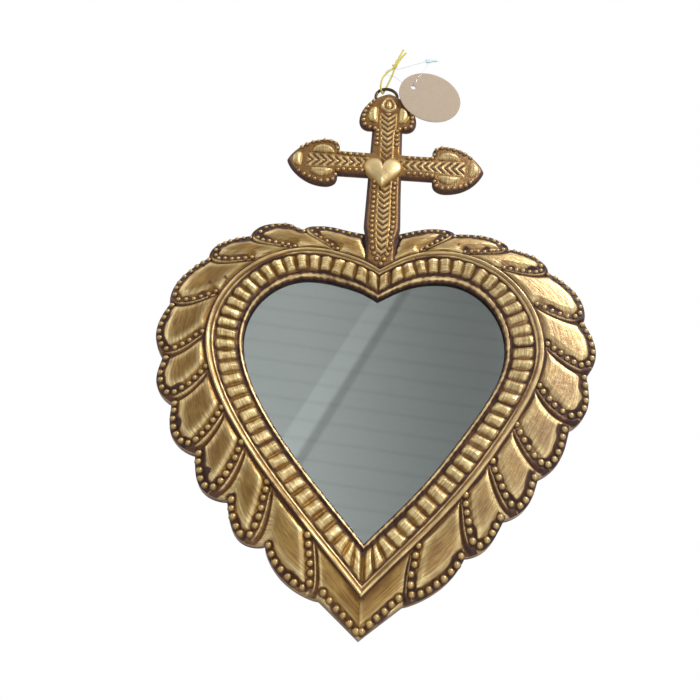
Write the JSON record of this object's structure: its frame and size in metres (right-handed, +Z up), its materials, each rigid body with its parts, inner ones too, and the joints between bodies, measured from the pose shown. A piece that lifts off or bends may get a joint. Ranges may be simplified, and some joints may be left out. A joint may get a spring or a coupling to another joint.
{
  "type": "wall mirror",
  "caption": "Heart-shaped wall mirror in an embossed antique-gold tin frame with beaded leaves and a cross above, hung by a wire ring, with a small card tag.",
  "frame": {"origin": "on the rear face of the back sheet, on the heart's axis, near the height of its widest point", "axes": "+X to the viewer's right, +Y into the wall, +Z up along the heart's axis; the front faces -Y and the wall plane is Y = 0"},
  "size_m": [0.2998, 0.0175, 0.463],
  "materials": {
    "antique_tin": "antique gold lacquer with dark brown patina in the hollows",
    "mirror_glass": "silvered glass",
    "grey_card": "plain grey card",
    "plain_tin": "dull tinplate",
    "solder": "dull solder",
    "bronzed_wire": "dark bronze lacquer on steel wire",
    "yellow_cord": "twisted thread",
    "kraft_card": "matt brown card",
    "clear_nylon": "clear nylon",
    "pale_plastic": "pale plastic"
  },
  "bodies": {
    "frame": {"front_sheet": "antique_tin", "mirror_glass": "mirror_glass", "backing_card": "grey_card", "back_sheet": "plain_tin", "tab_1": "plain_tin", "tab_2": "plain_tin", "tab_3": "plain_tin", "tab_4": "plain_tin", "tab_5": "plain_tin", "tab_6": "plain_tin", "tab_7": "plain_tin", "tab_8": "plain_tin", "rim_solder_1": "solder", "rim_solder_2": "solder", "rim_solder_3": "solder", "rim_solder_4": "solder", "rim_solder_5": "solder", "rim_solder_6": "solder", "rim_solder_7": "solder", "rim_solder_8": "solder", "hanging_ring": "bronzed_wire", "ring_solder_left": "solder", "ring_solder_right": "solder", "cord_loop": "yellow_cord", "cord_knot": "yellow_cord", "cord_tail_left": "yellow_cord", "cord_tail_right": "yellow_cord"},
    "tag": {"tag_filament": "clear_nylon", "tag_lock": "pale_plastic", "tag_card": "kraft_card"}
  },
  "joints": [
    {"name": "tag_swing", "type": "hinge", "parent": "frame", "child": "tag", "pos_m": [0, -0.00425, 0.254], "axis": [-1, 0, 0], "range_deg": [0, 30]}
  ]
}
